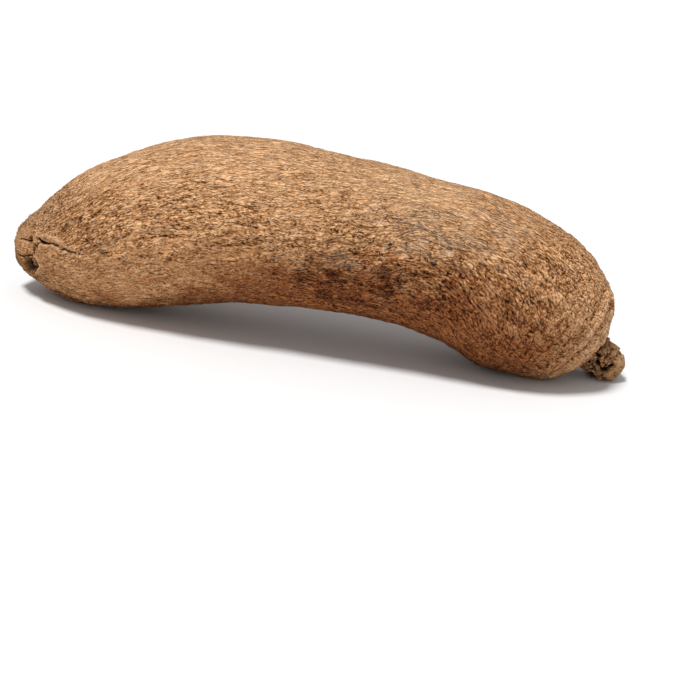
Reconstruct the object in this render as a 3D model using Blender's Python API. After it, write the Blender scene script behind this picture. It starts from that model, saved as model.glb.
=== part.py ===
"""White yam: one whole tuber in corky bark, lying arched on its tail bulge and its head.

Metres, +Z up. The tail points to -X and the head, with the crown knob, to +X. The origin is on the
surface that the tuber lies on, under the middle of the tuber's box.

The tuber is one skin of rings round a curved spine. A place on the skin is a share of the spine's
length, from 0 at the tail to 1 at the shoulder, and an angle round the spine: 90 is the top, 270 the
underside, and 180 the side that faces -Y.
"""
import bmesh
import bpy
import numpy as np

# Driving dimensions, in metres and degrees
LENGTH = 0.376              # along the spine, from the tail to the crown's shoulder
FLAT_DEPTH = 0.0027         # how far the low bulges are worn flat

# The spine's climb above level, and its turn in plan away from the -Y side, at shares of the length
CLIMB = ((0.00, -6), (0.06, 9), (0.12, 19), (0.20, 22), (0.30, 16), (0.40, 7), (0.48, 1), (0.57, -2),
         (0.66, -4), (0.74, -9), (0.80, -16), (0.86, -26), (0.93, -34), (1.00, -36), (1.10, -36))
TURN = ((0.00, 0), (0.30, 0), (0.60, 0), (0.75, 3), (0.86, 11), (1.00, 25), (1.10, 26))

# The skin's distance from the spine, and how much deeper the underside hangs, at shares of the length
GIRTH = ((0.000, 0.0048), (0.015, 0.0130), (0.045, 0.0232), (0.085, 0.0320), (0.125, 0.0384),
         (0.180, 0.0442), (0.240, 0.0480), (0.320, 0.0505), (0.400, 0.0505), (0.500, 0.0485),
         (0.620, 0.0460), (0.740, 0.0455), (0.820, 0.0462), (0.880, 0.0452), (0.930, 0.0420),
         (0.970, 0.0356), (0.990, 0.0298), (1.000, 0.0222))
BELLY = ((0.00, 0), (0.06, 0.0003), (0.12, 0.0020), (0.20, 0.0012), (0.30, 0), (0.60, 0),
         (0.72, 0.0010), (0.80, 0.0026), (0.87, 0.0042), (0.94, 0.0010), (1.00, -0.0012))

# The corky crown knob: a lump set off from the end of the spine, behind an undercut neck
KNOB_OFFSET = (0.0160, 0.0000, -0.0115)
KNOB_RADIUS = 0.0122
KNOB_BASE_ANGLE = 118       # degrees from the knob's far pole back to its first ring
NECK_DEPTH = 0.0035
KNOB_PIT_DEPTH = 0.0036
KNOB_PIT_SIZE = 0.0075

# Bark relief: broad lumps, and long ridges that run with the spine
LUMP_HEIGHT = 0.0016
LUMP_SIZE = 0.046
LUMP_SEED = 98
RIDGE_HEIGHT = 0.0016
RIDGE_LENGTH = 0.040
RIDGE_SPACING = 0.0140
RIDGE_SEED = 11

# Two folds round the crown with a groove between them: (share, height), and their width in shares
FOLDS = ((0.948, 0.0010), (0.959, -0.0012), (0.976, 0.0012))
FOLD_WIDTH = 0.0055

# Marks at the tail: (share, angle), with their sizes
TAIL_LUMP = (0.042, 170)
TAIL_LUMP_RADIUS = 0.0075
TAIL_LUMP_HEIGHT = 0.0012
SCAR = (0.054, 193)
SCAR_RADIUS = 0.0055
SCAR_DEPTH = 0.0026
SCAR_LIP = 0.0007
CRACK = ((0.071, 155), (0.080, 160.5), (0.089, 163), (0.106, 165.5), (0.126, 169), (0.140, 174), (0.151, 176))
CRACK_WIDTH = 0.0026
CRACK_DEPTH = 0.0020

# Rings along the skin and points round each ring
BODY_RINGS = 56
NECK_RINGS = 2
KNOB_RINGS = 8
POINTS_ROUND = 76
POLE_RISE = 0.4             # how far each end's pole stands past its last ring, in ring gaps
# Share of the length reached at each share of the body's rings, closer together at both ends
RING_PLACES = ((0.00, 0.009), (0.14, 0.050), (0.30, 0.170), (0.72, 0.740), (0.84, 0.900), (1.00, 1.000))

# Bark as a plain finish: linear colour and roughness
BARK_COLOUR = (0.366, 0.188, 0.084, 1.0)
BARK_ROUGHNESS = 0.85

HASH_MASK = 0xFFFFFFFF


def smooth_through(stations, at):
    """A smooth curve through the stations, each a place and its value, read at the given places."""
    place = np.array([station[0] for station in stations], float)
    value = np.array([station[1] for station in stations], float)
    slope = np.gradient(value, place)
    i = np.clip(np.searchsorted(place, at) - 1, 0, len(place) - 2)
    gap = place[i + 1] - place[i]
    t = np.clip((at - place[i]) / gap, 0, 1)
    return ((2 * t**3 - 3 * t**2 + 1) * value[i] + (t**3 - 2 * t**2 + t) * gap * slope[i]
            + (3 * t**2 - 2 * t**3) * value[i + 1] + (t**3 - t**2) * gap * slope[i + 1])


def scrambled(i, j, k, seed):
    """A fixed number from -1 to 1 for each whole-number point, scrambled from its three counts."""
    mixed = ((i * 73856093) ^ (j * 19349663) ^ (k * 83492791) ^ (seed * 40503)) & HASH_MASK
    mixed = ((mixed ^ (mixed >> 15)) * 2246822519) & HASH_MASK
    mixed = ((mixed ^ (mixed >> 13)) * 3266489917) & HASH_MASK
    return (mixed ^ (mixed >> 16)) / HASH_MASK * 2 - 1


def noise(points, seed):
    """Smooth noise, about -1 to 1: a fixed tilt at each whole-number point, blended between them."""
    cell = np.floor(points).astype(np.int64)
    t = points - cell
    ease = t**3 * (t * (t * 6 - 15) + 10)
    total = 0
    for corner in np.ndindex(2, 2, 2):
        i, j, k = (cell[..., axis] + corner[axis] for axis in range(3))
        weight = 1
        tilt = 0
        for axis in range(3):
            weight = weight * (ease[..., axis] if corner[axis] else 1 - ease[..., axis])
            tilt = tilt + scrambled(i, j, k, seed + axis) * (t[..., axis] - corner[axis])
        total = total + weight * tilt
    return total * 1.6


def spine(share, fine_steps=2000):
    """The spine's points, with its direction, side and up vectors, from summing its climb and turn."""
    fine = np.linspace(0, CLIMB[-1][0], fine_steps)
    climb = np.radians(smooth_through(CLIMB, fine))
    turn = np.radians(smooth_through(TURN, fine))
    ahead = np.stack([np.cos(climb) * np.cos(turn), np.cos(climb) * np.sin(turn), np.sin(climb)], 1)
    path = np.cumsum(ahead, axis=0) * fine[1] * LENGTH
    point = np.stack([np.interp(share, fine, path[:, axis]) for axis in range(3)], -1)
    ahead = np.stack([np.interp(share, fine, ahead[:, axis]) for axis in range(3)], -1)
    side = np.cross((0, 0, 1), ahead)
    side /= np.linalg.norm(side, axis=-1, keepdims=True)
    return point, ahead, side, np.cross(ahead, side)


def ring_points(centre, side, up, radius, angle):
    """Rings of points: centre plus radius times the cosine of the angle sideways and its sine up."""
    return centre + radius[..., None] * (np.cos(angle)[..., None] * side + np.sin(angle)[..., None] * up)


def body_rings(share, angle):
    """Rings of the body, whose underside hangs deeper by the belly's depth."""
    centre, _, side, up = spine(share)
    below = ((1 - np.sin(angle)) / 2) ** 1.5
    radius = smooth_through(GIRTH, share)[:, None] + smooth_through(BELLY, share)[:, None] * below
    return ring_points(centre[:, None], side[:, None], up[:, None], radius, angle[None])


def knob_rings(rings, angle):
    """Rings of the knob, a ball cut off at its base angle, from its base to its far pole."""
    shoulder, _, _, _ = spine(np.array([1.0]))
    axis = np.array(KNOB_OFFSET) / np.linalg.norm(KNOB_OFFSET)
    side = np.cross((0, 0, 1), axis)
    side /= np.linalg.norm(side)
    up = np.cross(axis, side)
    from_pole = np.radians(np.linspace(KNOB_BASE_ANGLE, 0, rings + 1)[:-1])
    centre = shoulder + KNOB_OFFSET + KNOB_RADIUS * np.cos(from_pole)[:, None] * axis
    radius = KNOB_RADIUS * np.sin(from_pole)[:, None] * np.ones_like(angle)
    return ring_points(centre[:, None], side, up, radius, angle[None])


def neck_rings(last, first, rings):
    """Rings between the shoulder and the knob, drawn back into the head to leave an undercut."""
    _, ahead, _, _ = spine(np.array([1.0]))
    step = (np.arange(rings) + 1) / (rings + 1)
    blend = last + step[:, None, None] * (first - last)
    return blend - NECK_DEPTH * np.sin(np.pi * step)[:, None, None] * ahead


def skin(body_count, neck_count, knob_count, around):
    """All the rings from tail to knob, with each ring's share and each point's angle."""
    angle = np.linspace(0, 2 * np.pi, around, endpoint=False)
    share = smooth_through(RING_PLACES, np.linspace(0, 1, body_count))
    body = body_rings(share, angle)
    knob = knob_rings(knob_count, angle)
    neck = neck_rings(body[-1], knob[0], neck_count)
    knob_share = 1 + np.arange(1, neck_count + knob_count + 1) * 0.01
    return np.concatenate([body, neck, knob]), np.concatenate([share, knob_share]), angle


def outward(points, spine_points):
    """Unit vectors across the skin, from the differences between neighbouring rings and points."""
    along = np.gradient(points, axis=0)
    round_ring = np.roll(points, -1, axis=1) - np.roll(points, 1, axis=1)
    normal = np.cross(round_ring, along)
    normal /= np.linalg.norm(normal, axis=-1, keepdims=True)
    facing = np.sum(normal * (points - spine_points), axis=-1)
    return normal * np.sign(np.sum(facing))


def bump(distance, radius):
    """A round hump: 1 in the middle, and 0 from the radius outwards."""
    return np.clip(1 - (distance / radius) ** 2, 0, 1) ** 2


def place_on_skin(share, angle):
    """The point on the plain body at a share and an angle in degrees."""
    return body_rings(np.array([share]), np.radians([angle]))[0, 0]


def distance_to_path(points, path):
    """Each point's distance to the nearest place on a path of straight runs."""
    nearest = np.full(points.shape[:-1], 1.0)
    for start, end in zip(path[:-1], path[1:]):
        run = end - start
        t = np.clip(np.sum((points - start) * run, axis=-1) / np.sum(run * run), 0, 1)
        gap = np.linalg.norm(points - (start + t[..., None] * run), axis=-1)
        nearest = np.minimum(nearest, gap)
    return nearest


def bark_relief(points, share, angle):
    """Height of lumps and long ridges: noise on the plain form, and sharp noise stretched lengthwise."""
    radius = smooth_through(GIRTH, np.clip(share, 0, 1))[:, None]
    grain = np.stack([share[:, None] * LENGTH / RIDGE_LENGTH + 0 * angle,
                      radius * np.cos(angle) / RIDGE_SPACING,
                      radius * np.sin(angle) / RIDGE_SPACING], -1)
    lumps = noise(points / LUMP_SIZE, LUMP_SEED)
    ridges = 1 - 2 * np.abs(noise(grain, RIDGE_SEED))
    return LUMP_HEIGHT * lumps + RIDGE_HEIGHT * (ridges - 0.5)


def fold_relief(share):
    """Height of the folds round the crown, each a rounded ridge at one share."""
    height = np.zeros_like(share)
    for place, fold_height in FOLDS:
        height += fold_height * np.exp(-(((share - place) / FOLD_WIDTH) ** 2))
    return height[:, None]


def tail_relief(points):
    """Height of the marks at the tail: a round lump, a hollow scar in a raised lip, and a crack."""
    lump = TAIL_LUMP_HEIGHT * bump(distance_from(points, TAIL_LUMP), TAIL_LUMP_RADIUS)
    from_scar = distance_from(points, SCAR)
    lip = SCAR_LIP * np.exp(-(((from_scar - SCAR_RADIUS) / (0.4 * SCAR_RADIUS)) ** 2))
    hollow = SCAR_DEPTH * bump(from_scar, SCAR_RADIUS)
    path = np.array([place_on_skin(*place) for place in CRACK])
    crack = CRACK_DEPTH * bump(distance_to_path(points, path), CRACK_WIDTH)
    return lump + lip - hollow - crack


def distance_from(points, place):
    """Each point's distance from a place on the plain body."""
    return np.linalg.norm(points - place_on_skin(*place), axis=-1)


def knob_relief(points):
    """Height of the knob's corky pits: sharp noise of one size."""
    return -KNOB_PIT_DEPTH * np.clip(noise(points / KNOB_PIT_SIZE, seed=37) + 0.1, 0, 1)


def tuber_points():
    """The finished rings: the plain skin moved outwards by all its relief."""
    points, share, angle = skin(BODY_RINGS, NECK_RINGS, KNOB_RINGS, POINTS_ROUND)
    centre, _, _, _ = spine(np.clip(share, 0, 1))
    normal = outward(points, centre[:, None])
    on_body = (share <= 1).astype(float)[:, None]
    height = on_body * (bark_relief(points, share, angle) + fold_relief(share) + tail_relief(points))
    height += (1 - on_body) * knob_relief(points)
    return points + height[..., None] * normal


def closed_skin(points):
    """A mesh of quads between rings, with a fan of triangles from a pole at each end."""
    rings, around, _ = points.shape
    middles = points.mean(axis=1)
    tail_pole = middles[0] - POLE_RISE * (middles[1] - middles[0])
    knob_pole = middles[-1] + POLE_RISE * (middles[-1] - middles[-2])
    mesh = bmesh.new()
    grid = [[mesh.verts.new(point) for point in ring] for ring in points]
    ends = [mesh.verts.new(pole) for pole in (tail_pole, knob_pole)]
    for i in range(rings - 1):
        for j in range(around):
            k = (j + 1) % around
            mesh.faces.new((grid[i][j], grid[i][k], grid[i + 1][k], grid[i + 1][j]))
    for j in range(around):
        k = (j + 1) % around
        mesh.faces.new((ends[0], grid[0][k], grid[0][j]))
        mesh.faces.new((ends[1], grid[-1][j], grid[-1][k]))
    bmesh.ops.recalc_face_normals(mesh, faces=mesh.faces)
    return mesh


def wear_flat(mesh):
    """Cuts the lowest bulges off level, and closes the cuts, so that the tuber lies still."""
    lowest = min(vertex.co.z for vertex in mesh.verts)
    level = lowest + FLAT_DEPTH
    geometry = list(mesh.verts) + list(mesh.edges) + list(mesh.faces)
    bmesh.ops.bisect_plane(mesh, geom=geometry, dist=1e-7, plane_co=(0, 0, level), plane_no=(0, 0, 1),
                           clear_inner=True)
    open_edges = [edge for edge in mesh.edges if edge.is_boundary]
    bmesh.ops.edgeloop_fill(mesh, edges=open_edges)
    bmesh.ops.triangulate(mesh, faces=list(mesh.faces))
    bmesh.ops.recalc_face_normals(mesh, faces=mesh.faces)


def stand_on_origin(mesh):
    """Moves the tuber so that its box stands centred on the origin."""
    corners = np.array([vertex.co for vertex in mesh.verts])
    low, high = corners.min(axis=0), corners.max(axis=0)
    shift = -np.array([(low[0] + high[0]) / 2, (low[1] + high[1]) / 2, low[2]])
    bmesh.ops.translate(mesh, verts=mesh.verts, vec=shift)


def bark_material():
    """Dry corky bark, as one plain finish."""
    material = bpy.data.materials.new("bark")
    material.use_nodes = True
    surface = material.node_tree.nodes["Principled BSDF"]
    surface.inputs["Base Color"].default_value = BARK_COLOUR
    surface.inputs["Roughness"].default_value = BARK_ROUGHNESS
    surface.inputs["Metallic"].default_value = 0.0
    return material


def make_yam():
    """The whole tuber as one closed object."""
    mesh = closed_skin(tuber_points())
    wear_flat(mesh)
    stand_on_origin(mesh)
    data = bpy.data.meshes.new("yam")
    mesh.to_mesh(data)
    mesh.free()
    data.shade_smooth()
    data.set_sharp_from_angle(angle=np.radians(50))
    data.materials.append(bark_material())
    yam = bpy.data.objects.new("yam", data)
    bpy.context.scene.collection.objects.link(yam)
    return yam


for leftover in list(bpy.data.objects):
    bpy.data.objects.remove(leftover, do_unlink=True)
make_yam()
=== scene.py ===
"""White yam: the looks of one whole tuber in corky bark, with its tail scar, crown folds and crown knob.

Metres, +Z up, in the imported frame: the tail points to -X and the head, with the knob, to +X.

The tuber is one skin of rings round a curved spine. A place on the skin is a share of the spine's
length, from 0 at the tail to 1 at the crown's shoulder, and an angle round the spine: 90 is the top,
270 the underside, and 180 the side that faces -Y.
"""
from collections import namedtuple

import bpy
import numpy as np
from mathutils import Matrix, Vector


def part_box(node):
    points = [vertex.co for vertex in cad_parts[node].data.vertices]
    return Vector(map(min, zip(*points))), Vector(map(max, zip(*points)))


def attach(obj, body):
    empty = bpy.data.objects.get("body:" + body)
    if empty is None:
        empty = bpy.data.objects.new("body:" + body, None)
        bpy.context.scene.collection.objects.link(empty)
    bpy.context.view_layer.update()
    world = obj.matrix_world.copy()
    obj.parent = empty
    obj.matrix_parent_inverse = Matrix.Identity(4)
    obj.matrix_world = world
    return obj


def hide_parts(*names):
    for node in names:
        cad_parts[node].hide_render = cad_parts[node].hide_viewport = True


MM = 0.001

# The tuber's form, in metres and degrees, as in the solid
SPINE_START = (-0.19377, -0.00037, 0.02868)
LENGTH = 0.376
CLIMB = ((0.00, -6), (0.06, 9), (0.12, 19), (0.20, 22), (0.30, 16), (0.40, 7), (0.48, 1), (0.57, -2),
         (0.66, -4), (0.74, -9), (0.80, -16), (0.86, -26), (0.93, -34), (1.00, -36), (1.10, -36))
TURN = ((0.00, 0), (0.30, 0), (0.60, 0), (0.75, 3), (0.86, 11), (1.00, 25), (1.10, 26))
GIRTH = ((0.000, 0.0048), (0.015, 0.0130), (0.045, 0.0232), (0.085, 0.0320), (0.125, 0.0384),
         (0.180, 0.0442), (0.240, 0.0480), (0.320, 0.0505), (0.400, 0.0505), (0.500, 0.0485),
         (0.620, 0.0460), (0.740, 0.0455), (0.820, 0.0462), (0.880, 0.0452), (0.930, 0.0420),
         (0.970, 0.0356), (0.990, 0.0298), (1.000, 0.0222))
BELLY = ((0.00, 0), (0.06, 0.0003), (0.12, 0.0020), (0.20, 0.0012), (0.30, 0), (0.60, 0),
         (0.72, 0.0010), (0.80, 0.0026), (0.87, 0.0042), (0.94, 0.0010), (1.00, -0.0012))
WIDEST = max(radius for _, radius in GIRTH)

# Rings of the tuber's skin, closer together at both ends, and points round each, closer at the front
BODY_RINGS = 343
CAP_RINGS = 10
POINTS_ROUND = 280
RING_PLACES = ((0.00, 0.009), (0.05, 0.030), (0.18, 0.088), (0.32, 0.150), (0.40, 0.240), (0.75, 0.850),
               (0.82, 0.930), (0.94, 0.980), (1.00, 1.000))
FRONT = 160
FRONT_CLOSER = 0.40
CAP_DISH = 0.0040
POLE_RISE = 0.4

# Broad relief, as in the solid
LUMP_HEIGHT = 0.0016
LUMP_SIZE = 0.046
LUMP_SEED = 98
RIDGE_HEIGHT = 0.0012
RIDGE_LENGTH = 0.040
RIDGE_SPACING = 0.0140
RIDGE_SEED = 11

# The grain's twists near the tail, over the upper middle and before the lower head, in radians, with the
# angles they are largest at, its wander, and how it shortens at the head
TAIL_TWIST = 0.34
UPPER_TWIST = 0.34
HEAD_TWIST = 0.38
TWIST_MIDDLE = 105
HEAD_TWIST_MIDDLE = 200
WANDER = 0.0013
WANDER_SIZE = 0.013
SHORTENING = 3.5
SHORTENS_FROM = 0.80

# Wrinkles: (height, length along the grain, width across it), the head's lumps: (height, size), pimples, and
# the height from a furrow to a crest in its lightest colour
COARSE_WRINKLE = (0.00035, 0.0150, 0.0042)
MAIN_WRINKLE = (0.00060, 0.0080, 0.0024)
FINE_WRINKLE = (0.00035, 0.0040, 0.0013)
HEAD_WRINKLE = (0.00070, 0.0032, 0.0027)
HEAD_LUMP = (0.00060, 0.0070)
PIMPLE_SPACING = 0.0055
PIMPLE_RADIUS = 0.0013
PIMPLE_HEIGHT = 0.00050
CREST_SPAN = 0.0014

# The cracked skin over the middle, as (share, angle, half length, half width), and some of its longer
# cracks, each a path of (share, angle)
CRACKED = (0.66, 160, 0.062, 0.027)
LONG_CRACKS = (((0.6661, 156.5), (0.6862, 152.5), (0.7002, 153.0), (0.7158, 155.0)),
               ((0.7361, 154.0), (0.7534, 154.0), (0.7628, 152.5)),
               ((0.7330, 163.0), (0.7486, 160.5), (0.7675, 157.0), (0.7817, 155.5)),
               ((0.7754, 147.0), (0.7928, 145.5)), ((0.8181, 145.0), (0.8324, 142.0)),
               ((0.7722, 120.0), (0.7833, 118.5)), ((0.6615, 140.0), (0.6769, 138.0)))
LONG_CRACK_RADIUS = 0.0008
LONG_CRACK_DEPTH = 0.0006

# Pale, smooth papery, worn grey, dull and dark stained patches: (share, angle, half length, half width). The
# last of the stains, a long thin band low on the flank, is painted shade.
PALE_PATCHES = ((0.380, 138, 0.030, 0.013), (0.530, 146, 0.034, 0.015))
SMOOTH_PATCHES = ((0.20, 204, 0.045, 0.022), (0.37, 198, 0.050, 0.022), (0.11, 190, 0.020, 0.014),
                  (0.105, 171, 0.020, 0.009), (0.036, 170, 0.012, 0.013))
WORN_PATCHES = ((0.715, 145, 0.036, 0.016), (0.790, 124, 0.016, 0.008), (0.774, 137, 0.022, 0.011),
                (0.590, 181, 0.014, 0.004))
STAINS_AND_SHADE = ((0.5275, 201, 0.0042, 0.0060), (0.5261, 210, 0.0040, 0.0050), (0.5820, 198, 0.0065, 0.0060),
          (0.6169, 195, 0.0045, 0.0045), (0.6560, 189, 0.0032, 0.0095), (0.6584, 201, 0.0060, 0.0045),
          # The last one, a long thin band low on the flank, is painted shade.
          (0.6000, 216, 0.0260, 0.0050))
STAIN_STROKES = (((0.5411, 182.5), (0.5411, 188)), ((0.5280, 196), (0.5250, 206)),
                 ((0.6520, 176), (0.6560, 186), (0.6584, 195)))
STAIN_STROKE_RADIUS = 0.0030
DULL_PATCHES = ((0.825, 142, 0.030, 0.022), (0.800, 172, 0.034, 0.022), (0.19, 150, 0.030, 0.020),
                (0.755, 196, 0.022, 0.012))

# The angles that the soil with painted shade and the pale top with painted light are strongest at
SOIL_AND_SHADE_ANGLE = 265
PALE_LIT_TOP_ANGLE = 100

# Small round eyes with a rim and a pit, and pale spots: (share, angle)
EYES = ((0.1371, 192.5), (0.1484, 190.5), (0.1173, 157.5), (0.9415, 161.5), (0.9756, 165.5), (0.3198, 212),
        (0.7252, 150.5), (0.7345, 123.5), (0.8007, 174.5))
EYE_RADIUS = 0.0017
EYE_RIM_HEIGHT = 0.0004
EYE_PIT_DEPTH = 0.0006
PALE_SPOTS = ((0.7675, 162), (0.8436, 156.5), (0.6692, 164), (0.5697, 175.5), (0.3480, 182), (0.2053, 176),
              (0.4563, 153), (0.8771, 156.5))
PALE_SPOT_RADIUS = 0.0028

# The crown: folds as (share, height, half width in shares), their lean and waver in shares, the angle they
# are whole at, and a dark nub on the rim
FOLDS = ((0.9360, -0.0006, 0.0030), (0.9480, 0.0006, 0.0036), (0.9570, -0.0011, 0.0036),
         (0.9665, 0.0008, 0.0032), (0.9740, 0.0006, 0.0090), (0.9830, -0.0007, 0.0026))
FOLD_LEAN = 0.0030
FOLD_LEAN_ANGLE = 175
FOLD_WAVER = 0.0030
FOLD_FRONT = 170
NUB = ((0.9642, 124), (0.9675, 132.5))
NUB_RADIUS = 0.0022
NUB_HEIGHT = 0.0013

# The tail, its places as (share, angle): the lump at its end with a dish, an edge, a valley and a hole, the
# hollow scar with its bare floor, raised rim and dried sap, and the cracks with the lip over the first one
END_LUMP = (0.0417, 171)
END_LUMP_RADIUS = 0.0056
END_LUMP_HEIGHT = 0.0018
END_DISH = (0.0417, 174)
END_DISH_RADIUS = 0.0020
END_DISH_DEPTH = 0.0005
LOWER_EDGE = ((0.0200, 186), (0.0266, 189), (0.0345, 187), (0.0417, 182.5), (0.0491, 180.5), (0.0556, 179))
LOWER_EDGE_RADIUS = 0.0010
END_LINE_DEPTH = 0.0010
VALLEY = ((0.0701, 166), (0.0634, 164.5), (0.0623, 167), (0.0589, 172.5), (0.0600, 176))
VALLEY_RADIUS = 0.0016
VALLEY_DEPTH = 0.0012
HOLE = (0.0534, 157)
HOLE_RADIUS = 0.0028
HOLE_DEPTH = 0.0034
HOLE_LINE = ((0.0266, 154), (0.0386, 156), (0.0481, 158.5), (0.0534, 157))
HOLE_LINE_RADIUS = 0.0008
SCAR_CORNERS = ((0.0370, 188), (0.0600, 180), (0.0710, 190), (0.0650, 197), (0.0585, 204), (0.0345, 217))
SCAR_DEPTH = 0.0042
SCAR_WALL = 0.0014
SCAR_FLOOR = ((0.0500, 186), (0.0530, 193))
SCAR_FLOOR_RADIUS = 0.0036
SCAR_RIDGE = ((0.0623, 176.5), (0.0645, 181), (0.0679, 184.5), (0.0730, 188.5), (0.0690, 195), (0.0634, 201),
              (0.0567, 210))
SCAR_RIDGE_RADIUS = 0.0014
SCAR_RIDGE_HEIGHT = 0.0008
SAP = ((0.0266, 195.5), (0.0335, 198), (0.0365, 209))
SAP_RADIUS = 0.0018
CRACK = ((0.0758, 157.5), (0.0804, 160.5), (0.0886, 163), (0.0992, 164.5), (0.1064, 165.5), (0.1198, 167.5))
BRANCH = ((0.0701, 166), (0.0747, 163.5), (0.0816, 162), (0.0886, 163))
SECOND_CRACK = ((0.1259, 171.5), (0.1346, 172.5), (0.1396, 174), (0.1446, 175.5), (0.1509, 176))
CRACK_RADIUS = 0.0012
CRACK_DEPTH = 0.0024
CRACK_LIP = ((0.0713, 153.5), (0.0839, 154.5), (0.0992, 156.5), (0.1064, 159.5), (0.1149, 160.5),
             (0.1272, 165))
LIP_RADIUS = 0.0024
LIP_HEIGHT = 0.0010
LESSER_CRACK_DEPTH = 0.0012
CRACK_UNDER = ((0.0735, 170.5), (0.0804, 165), (0.1016, 167), (0.1149, 169.5), (0.1210, 172))
UNDER_RADIUS = 0.0014
UNDER_HEIGHT = 0.0004
GASHES = (((0.1765, 170), (0.1882, 172.5), (0.1925, 174.5)), ((0.1974, 179.5), (0.2000, 183.5)))
GASH_RADIUS = 0.0018

# The crown knob: a lump on the shoulder's dish, as (place along it, distance from the shoulder, radius), its
# warp, lobes, lumps, grit and holes as (height, size), and the smooth hump on its side, by its distance
# along, direction, distance out and size
KNOB_OFFSET = (0.0160, 0.0000, -0.0115)
KNOB_PROFILE = ((0.00, -0.0030, 0.0165), (0.14, 0.0015, 0.0158), (0.30, 0.0085, 0.0125),
                (0.45, 0.0145, 0.0118), (0.60, 0.0200, 0.0122), (0.78, 0.0268, 0.0100),
                (0.92, 0.0308, 0.0054), (1.00, 0.0319, 0.0008))
KNOB_RINGS = 170
KNOB_ROUND = 280
KNOB_WARP = (0.0042, 0.0060)
KNOB_LOBE = (0.0013, 0.0075)
KNOB_LUMP = (0.0018, 0.0050)
KNOB_GRIT = (0.0003, 0.0011)
KNOB_HOLE = (0.0030, 0.0045)
KNOB_MIDDLE = 0.0197
KNOB_HUMP = (0.93, -0.35, 0.10)
KNOB_HUMP_OUT = 0.0122
KNOB_HUMP_RADIUS = 0.0084
KNOB_HUMP_HEIGHT = 0.0014

# Camera: the direction it looks from and its tilt, in degrees, its lens, and where the tuber's middle falls
# in the picture, in pixels
CAMERA_AZIMUTH = 8.0
CAMERA_ELEVATION = 20.0
CAMERA_ROLL = 7.2
CAMERA_DISTANCE = 1.0
LENS = 85.0
SENSOR = 36.0
PICTURE = 700
MIDDLE_IN_PICTURE = (320.8, 244.7)

# Floor and light
FLOOR_HALF = 12.0
FLOOR_GREY = 0.74
SKY_STRENGTH = 0.50
SUN_DIRECTION = (-0.22, -0.22, 1.0)
SUN_STRENGTH = 3.15
SUN_SOFTNESS = 14

HASH_MASK = 0xFFFFFFFF

# The skin's rings and points: share of the spine, angle, radius, plain place and place in the grain. Adding
# 0 * angle spreads a ring's number over all its points.
Skin = namedtuple("Skin", "share angle radius points grain")


# Curves and noise

def smooth_through(stations, at):
    """A smooth curve through the stations, each a place and its value, read at the given places."""
    place = np.array([station[0] for station in stations], float)
    value = np.array([station[1] for station in stations], float)
    slope = np.gradient(value, place)
    i = np.clip(np.searchsorted(place, at) - 1, 0, len(place) - 2)
    gap = place[i + 1] - place[i]
    t = np.clip((at - place[i]) / gap, 0, 1)
    return ((2 * t**3 - 3 * t**2 + 1) * value[i] + (t**3 - 2 * t**2 + t) * gap * slope[i]
            + (3 * t**2 - 2 * t**3) * value[i + 1] + (t**3 - t**2) * gap * slope[i + 1])


def rise(value, low, high):
    """0 below low, 1 above high, and an even S between them: 3t squared less 2t cubed."""
    t = np.clip((value - low) / (high - low), 0, 1)
    return t * t * (3 - 2 * t)


def scrambled(i, j, k, seed):
    """A fixed number from -1 to 1 for each whole-number point, scrambled from its three counts."""
    mixed = ((i * 73856093) ^ (j * 19349663) ^ (k * 83492791) ^ (seed * 40503)) & HASH_MASK
    mixed = ((mixed ^ (mixed >> 15)) * 2246822519) & HASH_MASK
    mixed = ((mixed ^ (mixed >> 13)) * 3266489917) & HASH_MASK
    return (mixed ^ (mixed >> 16)) / HASH_MASK * 2 - 1


def noise(points, seed):
    """Smooth noise, about -1 to 1: a fixed tilt at each whole-number point, blended between them."""
    cell = np.floor(points).astype(np.int64)
    t = points - cell
    ease = t**3 * (t * (t * 6 - 15) + 10)
    total = 0
    for corner in np.ndindex(2, 2, 2):
        i, j, k = (cell[..., axis] + corner[axis] for axis in range(3))
        weight = 1
        tilt = 0
        for axis in range(3):
            weight = weight * (ease[..., axis] if corner[axis] else 1 - ease[..., axis])
            tilt = tilt + scrambled(i, j, k, seed + axis) * (t[..., axis] - corner[axis])
        total = total + weight * tilt
    return total * 1.6


def furrowed(points, seed):
    """Low rounded swells cut by short sharp furrows: smooth noise, deepened where it is low."""
    value = noise(points, seed)
    return 0.7 * value - 0.8 * rise(-value, 0.05, 0.45)


def wormed(points, seed):
    """Rounded winding ridges between sharp furrows: 1 - (1 - t) squared, less its mean, where t is how far
    smooth noise is from its middle."""
    t = np.clip(np.abs(noise(points, seed)) / 0.35, 0, 1)
    return 0.35 - (1 - t) ** 2


def cells(points, seed):
    """Distances to the nearest and next nearest of one scattered seed per unit cube, and its fixed number."""
    home = np.floor(points).astype(np.int64)
    nearest = np.full(points.shape[:-1], 9.0)
    second = np.full(points.shape[:-1], 9.0)
    number = np.zeros(points.shape[:-1])
    for step in np.ndindex(3, 3, 3):
        cube = home + step - 1
        i, j, k = (cube[..., axis] for axis in range(3))
        spot = np.stack([0.5 + 0.45 * scrambled(i, j, k, seed + axis) for axis in range(3)], -1)
        gap = np.linalg.norm(cube + spot - points, axis=-1)
        closer = gap < nearest
        second = np.where(closer, nearest, np.minimum(second, gap))
        number = np.where(closer, scrambled(i, j, k, seed + 7), number)
        nearest = np.where(closer, gap, nearest)
    return nearest, second, number


def bump(distance, radius):
    """A round hump: 1 in the middle, and 0 from the radius outwards."""
    return np.clip(1 - (distance / radius) ** 2, 0, 1) ** 2


# The plain form

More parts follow.
